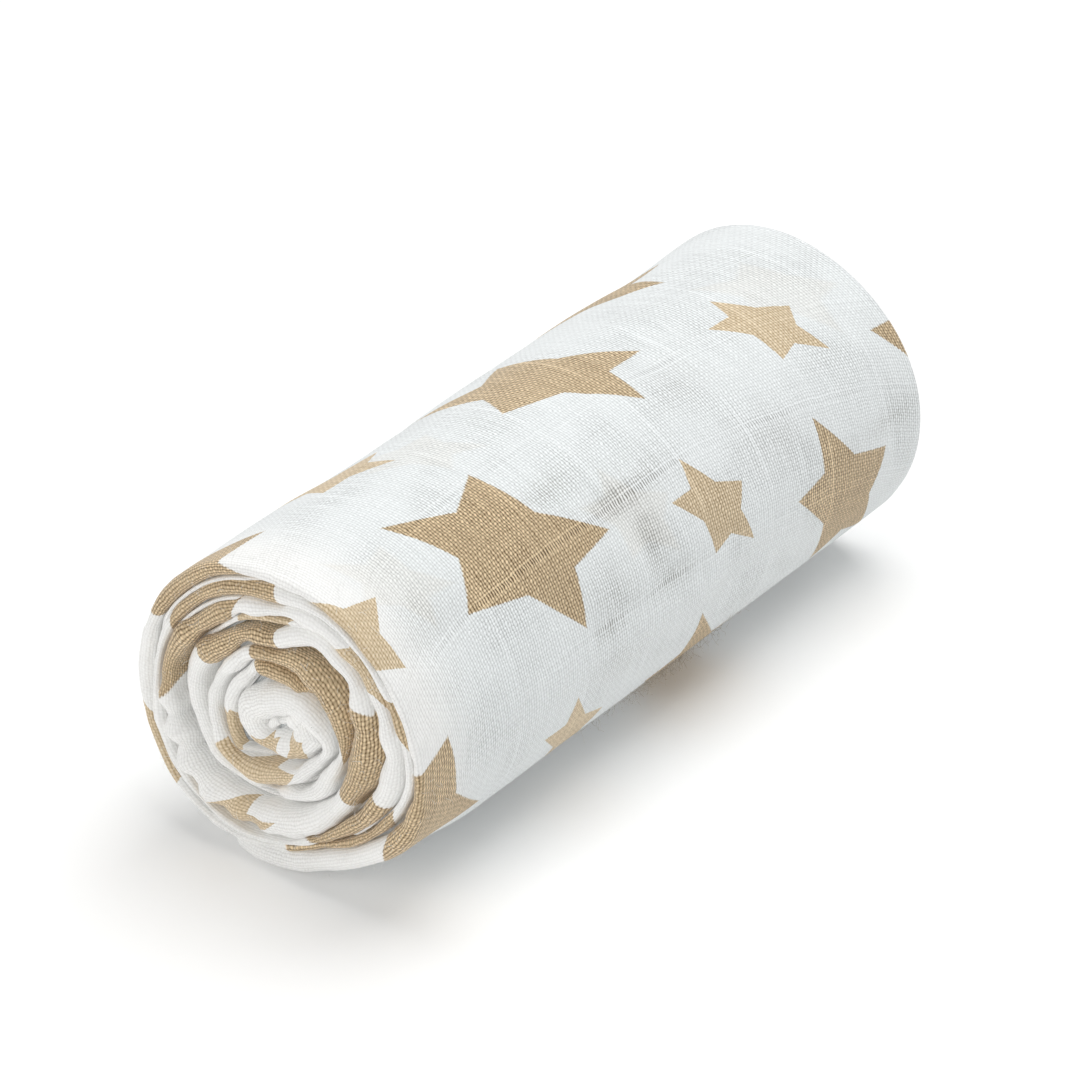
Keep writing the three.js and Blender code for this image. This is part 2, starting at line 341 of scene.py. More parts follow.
def through(x, knots, values):
    """A smooth curve through the values at the knots."""
    knots = np.asarray(knots, float)
    values = np.asarray(values, float)
    slopes = np.gradient(values, knots)
    i = np.clip(np.searchsorted(knots, x) - 1, 0, len(knots) - 2)
    step = knots[i + 1] - knots[i]
    t = np.clip((x - knots[i]) / step, 0, 1)
    return (
        (2 * t**3 - 3 * t**2 + 1) * values[i]
        + (t**3 - 2 * t**2 + t) * step * slopes[i]
        + (3 * t**2 - 2 * t**3) * values[i + 1]
        + (t**3 - t**2) * step * slopes[i + 1]
    )


def uneven(a, b, seed):
    """Soft random heights from -1 to 1, a step apart in a and in b."""
    rows, columns = 97, 89
    draw = np.random.RandomState(seed).uniform(-1, 1, (rows, columns))
    i = np.floor(a).astype(int)
    j = np.floor(b).astype(int)
    corners = [[draw[(i + di) % rows, (j + dj) % columns] for di in (0, 1)] for dj in (0, 1)]
    s = smooth(a - i)
    return mix(mix(*corners[0], s), mix(*corners[1], s), smooth(b - j))


# Winding counts turns from 0, where the loose end leaves the roll, inwards.
# It is below 0 on the loose end.
LEAVING = 0.06          # the cloth eases off the roll this far before and after 0
TUCK_START = 0.875      # where the outermost turn eases down to the next one
TUCK_LENGTH = 0.1
NO_DENTS = {"angle": -80, "half_angle": 65, "ease": 30}     # round the loose end
PRESSED_FROM = 0.5      # how much a place has to face down to be pressed flat


def angle_at(winding):
    return LOOSE_START + 360 * winding


def clear_of_loose_end(angle):
    beyond = angle_between(angle, NO_DENTS["angle"]) - NO_DENTS["half_angle"]
    return smooth(beyond / NO_DENTS["ease"])


def outline_radius(winding, y):
    """Outer face of the outermost turn, by the part of a turn from the loose start."""
    angle = angle_at(winding)
    dent = 0
    for row in dents:
        round_ = bell(angle_between(angle, row["angle"]), row["half_angle"])
        dent = dent + row["depth"] * round_ * bell(y - row["y"], row["half_length"])
    radius = ROLL_RADIUS - dent * clear_of_loose_end(angle)
    inner = ROLL_RADIUS - OUTER_PITCH
    down = np.maximum(-np.sin(np.radians(angle)), 1e-3)
    pressed = -soft_max(-radius, -inner / down, CORNER_SOFTNESS)
    radius = np.where(down < PRESSED_FROM, radius, pressed)
    return mix(radius, inner, smooth((winding - TUCK_START) / TUCK_LENGTH))


def spiral_radius(turns):
    """Radius of the winding this many turns out of the core."""
    slack = np.maximum(0, turns - (TURNS - 1)) * (OUTER_PITCH - INNER_PITCH)
    return CORE_RADIUS + np.maximum(turns, -0.6) * INNER_PITCH + slack


def turn_face(winding, y, inner):
    """Radius of the outer or the inner face of the turn at this winding."""
    part = np.where(winding < 0, 0, winding % 1)
    outer_turns = TURNS - part
    turns = TURNS - winding - (1 if inner else 0)
    pressed = outline_radius(part, y) - spiral_radius(outer_turns)
    wound = spiral_radius(turns) + pressed * np.clip(turns, 0, None) / outer_turns
    down = np.maximum(-np.sin(np.radians(angle_at(winding))), 0.1)
    lying = angle_at(winding) < -90
    flat = np.where(lying, AXIS_HEIGHT / down, np.minimum(ROLL_RADIUS, AXIS_HEIGHT / down))
    on_floor = flat - inner * LOOSE_THICKNESS * np.where(lying, 1 / down, 1)
    ease = smooth((winding + LEAVING) / (2 * LEAVING))
    return np.where(winding < LEAVING, mix(on_floor, wound, ease), wound)


def fold_rows():
    """Winding, radius, half width and rise of the near folds, in order inwards."""
    rows = [(row["winding"], row["radius"], row["half"], row["rise"]) for row in loose_folds]
    for row in near_folds:
        for i in range(len(row["radius"])):
            winding = row["turn"] - 1 + (i + 1) / FOLDS_IN_A_TURN
            rows.append((winding, row["radius"][i], row["half"][i], row["rise"][i]))
    return np.array(rows).T


FOLD_WINDING, FOLD_RADIUS, FOLD_HALF, FOLD_RISE = fold_rows()
NOSE_WINDING = -0.16
FINE_WINDING = 1.05     # up to here the sheet keeps all its columns
LAST_WINDING = FOLD_WINDING[-1]
# Cloth between the sheet's rows: at the nose of the loose end, on the outermost turn, and inside
NOSE_STEP = 0.5
OUTER_STEP = 1.7
INNER_STEP = 1.8
LEAST_RADIUS = 7        # nearer the middle than this the rows stay as far apart in degrees


def rows_of_winding():
    """Windings of the sheet's rows."""
    found = [FOLD_WINDING[0]]
    while found[-1] < LAST_WINDING:
        winding = found[-1]
        radius = max(float(turn_face(np.array(winding), 0.0, 0)), LEAST_RADIUS)
        step = OUTER_STEP if winding < FINE_WINDING else INNER_STEP
        if winding < NOSE_WINDING:
            step = NOSE_STEP
        found.append(winding + step / (2 * math.pi * radius))
    return np.array(found)


W = rows_of_winding()
THETA = np.radians(angle_at(W))
ROWS = len(W)
RADIAL = np.stack([np.cos(THETA), np.sin(THETA)], axis=1)
# Length of cloth from the loose start, along the outer face
CLOTH_U = np.concatenate([[0], np.cumsum(np.diff(THETA) * 0.5 * (
    turn_face(W[1:], 0.0, 0) + turn_face(W[:-1], 0.0, 0)))])
CLOTH_U -= np.interp(0, W, CLOTH_U)


def path_frame(radius):
    """Points of a path given by its radius in each row, and the normals that point outwards."""
    points = RADIAL * radius[:, None]
    along = np.gradient(points, axis=0)
    along /= np.linalg.norm(along, axis=1)[:, None]
    return points, np.stack([along[:, 1], -along[:, 0]], axis=1)


def hem_sizes():
    """Half thickness of the hem of layer 3 in each row, and how far it lies behind the crest."""
    half = np.full(ROWS, HEM_HALF)
    back = np.full(ROWS, HEM_BACK)
    for row in hems:
        centre = row["turn"] - 1 + ((row["angle"] - LOOSE_START) % 360) / 360
        share = np.clip(bell((W - centre) * 360, row["spread"]) * HEM_HOLD, 0, 1)
        half = mix(half, row["half"], share)
        back = mix(back, row["back"], share)
    return half, back


# The near end
near_radius = through(W, FOLD_WINDING, FOLD_RADIUS)
near_half = through(W, FOLD_WINDING, FOLD_HALF)
near_rise = through(W, FOLD_WINDING, FOLD_RISE)
hem_half, hem_back = hem_sizes()
near_points, near_normals = path_frame(near_radius)
near_y = NEAR_CREST - near_rise

# The far end: one round fold of all four layers in each turn, a little uneven


def waves(*rows):
    """Waves along the winding: height, waves in 2 pi turns, and start."""
    return sum(height * np.sin(W * rate + start) for height, rate, start in rows)


FAR_FOLD = 0.40     # half of the far fold, as a share of the turn's thickness
far_wobble = waves((0.5, 11.0, 0), (0.35, 23.0, 1.0))
far_outer = turn_face(W, FAR_CREST, 0)
far_inner = turn_face(W, FAR_CREST, 1)
far_half = FAR_FOLD * (far_outer - far_inner) * (1 + waves((0.12, 17.0, 0)))
far_points, far_normals = path_frame(0.5 * (far_outer + far_inner) + far_wobble * smooth(W - 1))
far_y = FAR_CREST + waves((1.2, 7.3, 0.5), (0.7, 19.0, 0))

NEAR_REACH = 38     # how far from an end its folds run out into the plain turns
FAR_REACH = 26
CROWDING = 0.6      # how much closer together the columns are towards both ends

# Columns of the sheet, from the hem of layer 4 to that of layer 3
section_columns = {
    "tuck 4": 2, "hem 4": 5, "layer 4": 20, "far fold": 9, "layer 1": 96, "near fold": 15,
    "layer 2": 26, "inner far fold": 5, "layer 3": 20, "hem 3": 7, "tuck 3": 2,
}
NEAR_BULGE = 1.15       # length of a fold's rounding, in half widths
FAR_BULGE = 0.9
INNER_FOLD = 0.35       # the inner far fold, as a share of the one round it
INNER_FOLD_BACK = 3
HEM_WIDTH = 0.9         # a hem's rounding, and the tuck of its cut edge, in half thicknesses
TUCK_WIDTH = 0.3
TUCK_BACK = 3.0
HEM_STEP = 1.5          # how far the hem of layer 4 lies behind that of layer 3
HEM_ROOM = 0.4          # between a hem's rounding and the layer that runs out of it
FOLD_ROOM = 0.2         # between the near fold and the hem inside it
LEAST_FOLD = 1.0        # a hem keeps this far from the axis


def layer_points(layer, y, near_offset, far_offset):
    """Points (x, z from the axis) of a layer: rows by stations. y is rows by stations."""
    winding = W[:, None]
    place = LAYER_PLACE[layer]
    radius = mix(turn_face(winding, y, 0), turn_face(winding, y, 1), place)
    bulk = RADIAL[:, None, :] * radius[:, :, None]
    near = near_points + near_normals * near_offset[:, None]
    far = far_points + far_normals * far_offset[:, None]
    near_share = 1 - smooth((y - near_y[:, None]) / NEAR_REACH)
    far_share = 1 - smooth((far_y[:, None] - y) / FAR_REACH)
    mixed = mix(bulk, near[:, None, :], near_share[:, :, None])
    return mix(mixed, far[:, None, :], far_share[:, :, None])


def run(layer, near_edge, far_edge, near_offset, far_offset, to_near):
    """A layer from one end of the roll to the other."""
    t = np.linspace(0, 1, section_columns[f"layer {layer}"])
    t = mix(t, smooth(t), CROWDING)
    y = near_edge[:, None] + (far_edge - near_edge)[:, None] * t[None, :]
    if to_near:
        y = y[:, ::-1]
    return y, layer_points(layer, y, near_offset, far_offset)


def bend(part, y, middle, half, bulge, outwards, far=False):
    """A rounded fold at an end, without its first and last points, which its neighbours have."""
    points, normals, side = (far_points, far_normals, 1) if far else (near_points, near_normals, -1)
    turn = np.linspace(0, math.pi, section_columns[part] + 2)[1:-1]
    if outwards:
        turn = turn[::-1]
    offset = middle[:, None] + half[:, None] * np.cos(turn)[None, :]
    depth = y[:, None] + side * bulge[:, None] * np.sin(turn)[None, :]
    place = points[:, None, :] + normals[:, None, :] * offset[:, :, None]
    return depth, place


def hem(layer, edge, middle, half, outwards):
    """The tuck of a hem's cut edge, and the hem's rounding."""
    tuck = half * TUCK_WIDTH
    return (
        bend(f"tuck {layer}", edge + TUCK_BACK, middle - half * HEM_WIDTH, tuck, tuck, outwards),
        bend(f"hem {layer}", edge + half, middle, half * HEM_WIDTH, half, outwards),
    )


def towel_section():
    """The whole sheet as rows by columns: y, and x and z from the axis."""
    middle = np.zeros(ROWS)
    plain = np.full(ROWS, HEM_HALF)
    near_bulge = near_half * NEAR_BULGE
    far_bulge = far_half * FAR_BULGE
    inner_half = far_half * INNER_FOLD
    near_edge = near_y + near_bulge
    far_edge = far_y - far_bulge
    inner_edge = far_edge - INNER_FOLD_BACK
    hem3 = -np.minimum(near_half + hem_half + FOLD_ROOM, near_radius - LEAST_FOLD)
    hem4 = hem3 - hem_half - HEM_HALF
    edge3 = near_y + hem_back
    edge4 = edge3 + HEM_STEP + (hem_half - HEM_HALF)
    start3 = edge3 + hem_half + HEM_ROOM
    start4 = edge4 + plain + HEM_ROOM
    parts = [
        # From the hem of layer 4 round the far fold to layer 1
        *hem(4, edge4, hem4, plain, True),
        run(4, start4, far_edge, hem4 + plain * HEM_WIDTH, -far_half, False),
        bend("far fold", far_edge, middle, far_half, far_bulge, True, far=True),
        run(1, near_edge, far_edge, near_half, far_half, True),
        # Round the near fold to layer 2, and round the inner far fold to layer 3
        bend("near fold", near_edge, middle, near_half, near_bulge, False),
        run(2, near_edge, inner_edge, -near_half, inner_half, False),
        bend("inner far fold", inner_edge, middle, inner_half, inner_half, False, far=True),
        run(3, start3, inner_edge, hem3 + hem_half * HEM_WIDTH, -inner_half, True),
        *reversed(hem(3, edge3, hem3, hem_half, False)),
    ]
    return [np.concatenate(kind, axis=1) for kind in zip(*parts)]


NOSE_LENGTH = 4.2
NOSE_HEIGHT = 3.9       # of the nose's middle above the floor
NOSE_SQUEEZE = 0.05     # share that is left of what would reach beyond the nose
FLAT_WINDING = -0.12    # before this the loose end lies flat
FLOOR_GAP = 0.05


def close_nose(place):
    """The loose end closes in a rounded nose at its free edge."""
    x = place[:, :, 0]
    z = place[:, :, 1] + AXIS_HEIGHT
    flat = W[:, None] < FLAT_WINDING
    inside = np.clip((LOOSE_NOSE + NOSE_LENGTH - x) / NOSE_LENGTH, 0, 1)
    share = np.sqrt(1 - inside**2)
    z = np.where(flat & (x < LOOSE_NOSE + NOSE_LENGTH), NOSE_HEIGHT + (z - NOSE_HEIGHT) * share, z)
    x = np.where(flat & (x < LOOSE_NOSE), LOOSE_NOSE + (x - LOOSE_NOSE) * NOSE_SQUEEZE, x)
    return x, np.maximum(z, FLOOR_GAP)


def column_of(part, share=0.0):
    """The sheet's column where a part of the section starts, or a share further into it."""
    names = list(section_columns)
    before = sum(section_columns[name] for name in names[:names.index(part)])
    return before + int(section_columns[part] * share)


section_y, section_place = towel_section()
COLUMNS = section_y.shape[1]
CREST = column_of("near fold", 0.5)
HEM_COLUMN = column_of("hem 3", 0.5)
OUTER_LAYER = slice(column_of("layer 1"), CREST + 1)
sheet_x, sheet_z = close_nose(section_place)


def cloth_across(x, z, y):
    """Place of each point across the cloth, measured along its own section from the near fold."""
    step = np.sqrt(np.diff(x, axis=1) ** 2 + np.diff(z, axis=1) ** 2 + np.diff(y, axis=1) ** 2)
    length = np.concatenate([np.zeros((ROWS, 1)), np.cumsum(step, axis=1)], axis=1)
    return NEAR_FOLD - (length - length[:, CREST][:, None])


def unit(vectors):
    return vectors / np.maximum(np.linalg.norm(vectors, axis=-1), 1e-9)[..., None]


def outward_normals(points):
    """Normals of the sheet. A point of the outer layer tells which of the two ways is out."""
    normals = unit(np.cross(np.gradient(points, axis=0), np.gradient(points, axis=1)))
    sample = (ROWS // 4, column_of("layer 1", 0.25))
    from_axis = (points[sample] - (0, 0, AXIS_HEIGHT)) * (1, 0, 1)
    return normals * np.sign(normals[sample] @ from_axis)


CREASE_END = 1.3    # how softly a crease ends, in its widths


def crease_relief(angle, y):
    """Height of the creases, below 0 in a trough."""
    total = 0
    scale = math.radians(ROLL_RADIUS)
    for row in creases:
        start = np.array(row["from"], float)
        way = np.array(row["to"], float) - start
        step = np.stack([(angle - start[0]) * scale, y - start[1]])
        line = np.array([way[0] * scale, way[1]])
        length = np.linalg.norm(line)
        along = (step[0] * line[0] + step[1] * line[1]) / length
        beside = (step[0] * line[1] - step[1] * line[0]) / length
        beyond = np.maximum(np.abs(along - length / 2) - length / 2, 0)
        ends = bell(beyond, row["width"] * CREASE_END)
        total = total - row["depth"] * bell(beside, row["width"]) * ends
    return total


def uneven_cloth(kind, u, v):
    return sum(
        row["height"] * uneven(u / row["round"], v / row["along"], row["seed"])
        for row in unevenness[kind])


def relief(y, u, v):
    """Height in mm of each point above the smooth sheet: rows by columns."""
    winding = W[:, None]
    angle = np.repeat(angle_at(W)[:, None], COLUMNS, axis=1)
    outside = np.zeros((ROWS, COLUMNS))
    outside[:, OUTER_LAYER] = 1
    outside *= smooth((1.04 - winding) / 0.05) * smooth((winding + 0.05) / 0.1)
    height = outside * (crease_relief(angle, y) + uneven_cloth("outside", u, v))
    rim = bell(v - NEAR_FOLD, RIM_SPREAD)
    inner = smooth((winding - 1.2) / 1.5)
    pleats_angle = PLEATS["angle"] + 360 * (PLEATS["turn"] - 1)
    pleated = bell(angle - pleats_angle, PLEATS["spread"]) * (1 + uneven_cloth("pleats", u, v))
    pleats = np.sin(u * (2 * math.pi / PLEATS["length"]) + v * PLEATS["slant"])
    height += rim * PLEATS["height"] * pleated * pleats
    height += rim * (RIM_HEIGHT + INNER_RIM_HEIGHT * inner) * uneven_cloth("rims", u, v)
    height += rim * inner * uneven_cloth("inner rims", u, v)
    return height


sheet_v = cloth_across(sheet_x, sheet_z, section_y)
sheet_u = np.repeat(CLOTH_U[:, None], COLUMNS, axis=1)
smooth_points = np.stack([sheet_x, section_y, sheet_z], axis=2)
raised = outward_normals(smooth_points) * relief(section_y, sheet_u, sheet_v)[..., None]
points = smooth_points + raised
points[:, :, 2] = np.maximum(points[:, :, 2], FLOOR_GAP)
pulled = np.radians(np.interp(section_y, grain["y"], grain["pulled"]))

# The folds of the inner turns are longer than the turns behind them: there the threads follow
# the fold, up to GRAIN_NEAR from it and less and less over the next GRAIN_EASE
GRAIN_NEAR = 20
GRAIN_EASE = 40
fold_length = np.concatenate([[0], np.cumsum(np.linalg.norm(np.diff(near_points, axis=0), axis=1))])
fold_gain = (fold_length - CLOTH_U) - np.interp(1.0, W, fold_length - CLOTH_U)
fold_gain = np.where(W > 1, fold_gain, 0)[:, None]
fold_share = 1 - smooth((np.abs(sheet_v - NEAR_FOLD) - GRAIN_NEAR) / GRAIN_EASE)
weave_u = sheet_u + ROLL_RADIUS * pulled + fold_gain * fold_share


def patches(angle, y):
    """How far the threads have drawn apart, from 0 to 1."""
    total = np.zeros(y.shape)
    for row in open_patches:
        round_ = bell(angle - row["angle"], row["half_angle"])
        spot = round_ * bell(y - row["y"], row["half_length"])
        total = np.maximum(total, row["open"] * spot)
    return total


# Cloth state at each point: how far the threads have drawn apart, and how fuzzy they are.
# The rims of the folds are fuzzy, and so is what lies inside the roll.
# Open cloth gets deeper painted shade in its gaps; fuzzy cloth gets shallower gap shade and a slightly
# lighter, warmer white as painted light.
RIM_FUZZ = 12.0
INSIDE = NEAR_FOLD - 40
outer_turn = (W[:, None] < 1) & (np.arange(COLUMNS)[None, :] <= CREST)
state_open = patches(angle_at(W)[:, None], section_y) * outer_turn
state_fuzzy = np.clip(bell(sheet_v - NEAR_FOLD, RIM_FUZZ) * 1.3, 0, 1)
state_fuzzy = state_fuzzy * smooth((W[:, None] + 0.3) / 0.6 + 0.5)
state_fuzzy = np.maximum(state_fuzzy, sheet_v < INSIDE)


SHOWING = 22        # how far behind the near crest the inner turns show
KEPT_ELSEWHERE = 5  # one in this many columns is kept in the rest of the inner turns


def kept_columns():
    """Columns that the inner turns keep: all of them near the end that shows, a few elsewhere."""
    columns = np.arange(COLUMNS)
    row = ROWS // 2
    showing = (section_y[row] < NEAR_CREST + SHOWING) & (sheet_v[row] < NEAR_FOLD + SHOWING)
    kept = showing | (columns % KEPT_ELSEWHERE == 0)
    kept[[0, COLUMNS - 1]] = True
    return columns[kept]


def sheet_faces():
    """Point indices of each face. Where columns end, a face takes up their points."""
    index = np.arange(ROWS * COLUMNS).reshape(ROWS, COLUMNS)
    fine = int(np.searchsorted(W, FINE_WINDING))
    kept = kept_columns()
    faces = []
    for row in range(fine):
        for column in range(COLUMNS - 1):
            faces.append((index[row, column], index[row + 1, column],
                          index[row + 1, column + 1], index[row, column + 1]))
    for row in range(fine, ROWS - 1):
        for first, last in zip(kept[:-1], kept[1:]):
            above = index[row, first:last + 1][::-1] if row == fine else index[row, [last, first]]
            faces.append((*above, index[row + 1, first], index[row + 1, last]))
    return faces


def sheet_mesh(name, points, faces):
    """A mesh of the faces, without the points that none of them uses."""
    used = np.unique(np.concatenate([np.array(face) for face in faces]))
    place = np.full(ROWS * COLUMNS, -1)
    place[used] = np.arange(len(used))
    placed = (points.reshape(-1, 3)[used] * MM).tolist()
    mesh = bpy.data.meshes.new(name)
    mesh.from_pydata(placed, [], [tuple(place[list(face)]) for face in faces])
    mesh.polygons.foreach_set("use_smooth", np.ones(len(faces), bool))
    return mesh


def turning(degrees):
    cos = math.cos(math.radians(degrees))
    sin = math.sin(math.radians(degrees))
    return np.array([[cos, -sin], [sin, cos]])


def star_frame(star):
    """Turns steps over the cloth into the star's own ones, where its points lie 1 from its middle."""
    pull = turning(star["pull"])
    stretch = pull @ np.diag([star["long"], star["short"]]) @ pull.T
    return np.linalg.inv(stretch @ turning(star["turned"]))


# Half the angle of a star's point, and the slope of its sides
STAR_PART = math.pi / 5
STAR_SLOPE = INNER_POINT * math.sin(STAR_PART)
STAR_RISE = 1 - INNER_POINT * math.cos(STAR_PART)


def star_edge(x, y):
    """Below 1 inside a star whose points lie 1 from its middle, above 1 outside."""
    round_ = np.abs((np.arctan2(y, x) + STAR_PART) % (2 * STAR_PART) - STAR_PART)
    side = np.cos(round_) * STAR_SLOPE + np.sin(round_) * STAR_RISE
    return np.hypot(x, y) * side / STAR_SLOPE


CREST_CLOTH = 0.6   # cloth that the rounding of the outermost fold takes up
FAR_FROM_STAR = 9   # place in its star of cloth that has no star
STAR_REACH = 3.0    # how far out, in star sizes, cloth still takes a star's frame


def star_places(stars):
    """Each star with its place on the cloth, and whether it is measured from the hem."""
    found = []
    for star in stars:
        winding = star.get("turn", 1) - 1 + (star["angle"] - LOOSE_START) / 360
        from_hem = "from_hem" in star
        if from_hem:
            v = star["from_hem"]
        elif "across" in star:
            v = NEAR_FOLD + star["across"]
        else:
            v = NEAR_FOLD + star["y"] - NEAR_CREST + CREST_CLOTH
        found.append((np.interp(winding, W, CLOTH_U), v, from_hem, star))
    return found


def printed(stars, corner, starts):
    """For each corner of each face, its place in the star printed there, and that star's shade."""
    u = sheet_u.reshape(-1)[corner]
    v = sheet_v.reshape(-1)[corner]
    hem_v = np.abs(sheet_v - sheet_v[:, [HEM_COLUMN]]).reshape(-1)[corner]
    face = np.repeat(np.arange(len(starts)), np.diff(np.append(starts, len(corner))))
    best = np.full(len(starts), STAR_REACH)
    result = np.zeros((len(corner), 3))
    result[:, 0] = FAR_FROM_STAR
    for u0, v0, from_hem, star in star_places(stars):
        step = np.stack([(hem_v if from_hem else v) - v0, u0 - u], axis=1)
        local = step @ star_frame(star).T
        edge = np.minimum.reduceat(star_edge(local[:, 0], local[:, 1]), starts)
        nearer = edge < best
        best = np.where(nearer, edge, best)
        chosen = nearer[face]
        result[chosen, :2] = local[chosen]
        result[chosen, 2] = star["shade"]
    return result


towel_faces = sheet_faces()
towel_mesh = sheet_mesh("towel", points, towel_faces)
corner = np.concatenate([np.array(face) for face in towel_faces])
starts = np.concatenate([[0], np.cumsum([len(face) for face in towel_faces])[:-1]])
uv = towel_mesh.uv_layers.new(name="cloth")
cloth_place = np.stack([weave_u.reshape(-1), sheet_v.reshape(-1)], axis=1)[corner] * MM
uv.data.foreach_set("uv", cloth_place.reshape(-1))
for name, stars in (("print", outer_stars + near_stars), ("under", under_stars)):
    layer = towel_mesh.attributes.new(name, "FLOAT_VECTOR", "CORNER")
    layer.data.foreach_set("vector", printed(stars, corner, starts).reshape(-1))
place_used = np.unique(corner)
for name, values in (("open", state_open), ("fuzzy", state_fuzzy)):
    layer = towel_mesh.attributes.new(name, "FLOAT", "POINT")
    layer.data.foreach_set("value", values.reshape(-1)[place_used].astype(float))
towel = bpy.data.objects.new("towel", towel_mesh)
bpy.context.scene.collection.objects.link(towel)


class Socket:
    """A node's output, for maths written as expressions."""

    def __init__(self, tree, out):
        self.tree = tree
        self.out = out

    def math(self, operation, *others):
        return self.tree.node("ShaderNodeMath", {"operation": operation}, [self, *others])

    def __add__(self, other):
        return self.math("ADD", other)

    __radd__ = __add__

    def __mul__(self, other):
        return self.math("MULTIPLY", other)

    __rmul__ = __mul__

    def __sub__(self, other):
        return self.math("SUBTRACT", other)

    def __rsub__(self, other):
        return self * -1 + other

    def __truediv__(self, other):
        return self.math("DIVIDE", other)

    def beside(self, index):
        """Another output of the same node."""
        return Socket(self.tree, self.out.node.outputs[index])

    def ramp(self, low, high, kind="SMOOTHSTEP"):
        """0 below low, 1 above high."""
        return self.tree.node("ShaderNodeMapRange", {"interpolation_type": kind}, {
            "Value": self, "From Min": low, "From Max": high})

    def ramp_linear(self, low, high):
        return self.ramp(low, high, "LINEAR")


class Tree:
    """A material's nodes."""

    def __init__(self, name):
        self.material = bpy.data.materials.new(name)
        self.material.use_nodes = True
        self.nodes = self.material.node_tree.nodes
        self.links = self.material.node_tree.links
        self.nodes.clear()

    def node(self, kind, settings=None, inputs=None, output=0):
        made = self.nodes.new(kind)
        for key, value in (settings or {}).items():
            setattr(made, key, value)
        pairs = inputs.items() if isinstance(inputs, dict) else enumerate(inputs or [])
        for key, value in pairs:
            if isinstance(value, Socket):
                self.links.new(value.out, made.inputs[key])
            else:
                made.inputs[key].default_value = value
        return Socket(self, made.outputs[output]) if made.outputs else made

    def noise(self, place, scale, detail):
        return self.node("ShaderNodeTexNoise", {"noise_dimensions": "2D"}, {
            "Vector": place, "Scale": scale, "Detail": detail})

    def attribute(self, name, output):
        """A value of the mesh: 1 gives it as a vector, 2 as a number."""
        return self.node("ShaderNodeAttribute", {"attribute_name": name}, {}, output)

    def mix_color(self, factor, a, b):
        return self.node("ShaderNodeMix", {"data_type": "RGBA"}, {0: factor, 6: a, 7: b}, 2)

    def surface(self, inputs):
        shader = self.node("ShaderNodeBsdfPrincipled", {}, inputs)
        self.node("ShaderNodeOutputMaterial", {}, {"Surface": shader})
        return self.material


def linear(r, g, b):
    """A colour given as 0 to 255 on a screen."""
    values = [c / 255 for c in (r, g, b)]
    return (*[v / 12.92 if v <= 0.04045 else ((v + 0.055) / 1.055) ** 2.4 for v in values], 1)


# Lines in the weave: how far from its middle a line starts to fade, and has faded
LADDER_EDGE = (0.5, 0.95)
RAIL_PLACE = 1.15       # of the thick thread on either side of an open line
RAIL_EDGE = (0.1, 0.45)
THICK_EDGE = (0.28, 0.7)

# Colours of the thread where it lies high, and of the deep gap between threads. The deep colours are
# painted shade in the gaps, and in the print partly the ink on the threads' sides.
thread_colors = {
    "beige": linear(242, 225, 197),
    "beige deep": linear(168, 144, 106),
    "tan": linear(243, 219, 181),
    "tan deep": linear(97, 73, 38),
    "white": (0.91, 0.94, 0.945, 1),
    "white shaded gap": (0.47, 0.485, 0.48, 1),
    # Fuzzy white is a little lighter and warmer than white: painted light on the folds of the near end.
    "fuzzy white": (0.945, 0.945, 0.93, 1),
    "fuzzy white shaded gap": (0.56, 0.55, 0.53, 1),
    # Painted shade of the inside of the roll, seen where the threads have drawn apart
    "open white shaded gap": (0.29, 0.28, 0.255, 1),
}


def star_print(tree, name):
    """A star's edge, below 1 inside it, and its shade."""
    x = tree.node("ShaderNodeSeparateXYZ", {}, [tree.attribute(name, 1)])
    y = x.beside(1)
    distance = (x * x + y * y).math("SQRT")
    round_ = y.math("ARCTAN2", x).math("PINGPONG", STAR_PART)
    side = round_.math("COSINE") * STAR_SLOPE + round_.math("SINE") * STAR_RISE
    return distance * side / STAR_SLOPE, x.beside(2)


def off_line(coordinate, spacing, start):
    """Distance from the nearest of some evenly spaced lines."""
    return (coordinate - start).math("PINGPONG", spacing / 2)


